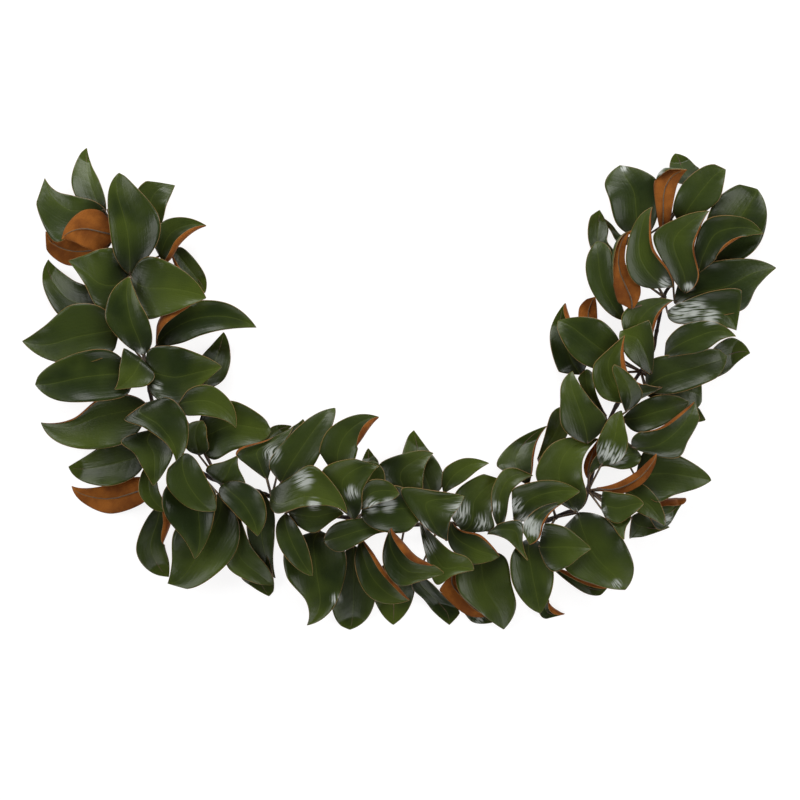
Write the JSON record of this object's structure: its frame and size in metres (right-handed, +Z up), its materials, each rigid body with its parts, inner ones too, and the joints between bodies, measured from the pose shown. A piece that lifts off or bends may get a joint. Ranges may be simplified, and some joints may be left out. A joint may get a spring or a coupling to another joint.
{
  "type": "magnolia leaf garland",
  "caption": "Swag of glossy green magnolia leaves with rust-brown undersides, in leafy sprays along one bent woody stem, laid down flat in a U.",
  "frame": {"origin": "middle of the garland's box on the surface that it lies on", "axes": "+X along the swag from the left arm to the right arm, +Y from the bottom of the U to the open side, +Z up from the surface"},
  "size_m": [1.2086, 0.7762, 0.0979],
  "materials": {
    "magnolia_leaf": "glossy leaf",
    "bark": "rough bark"
  },
  "bodies": {
    "root": {"stem": "bark", "spray_01": "magnolia_leaf", "spray_02": "magnolia_leaf", "spray_03": "magnolia_leaf", "spray_04": "magnolia_leaf", "spray_05": "magnolia_leaf", "spray_06": "magnolia_leaf", "spray_07": "magnolia_leaf", "spray_08": "magnolia_leaf", "spray_09": "magnolia_leaf", "spray_10": "magnolia_leaf", "spray_11": "magnolia_leaf", "spray_12": "magnolia_leaf", "spray_13": "magnolia_leaf", "spray_14": "magnolia_leaf", "spray_15": "magnolia_leaf", "spray_16": "magnolia_leaf", "spray_17": "magnolia_leaf", "spray_18": "magnolia_leaf", "spray_19": "magnolia_leaf", "spray_20": "magnolia_leaf", "spray_21": "magnolia_leaf"}
  },
  "joints": []
}
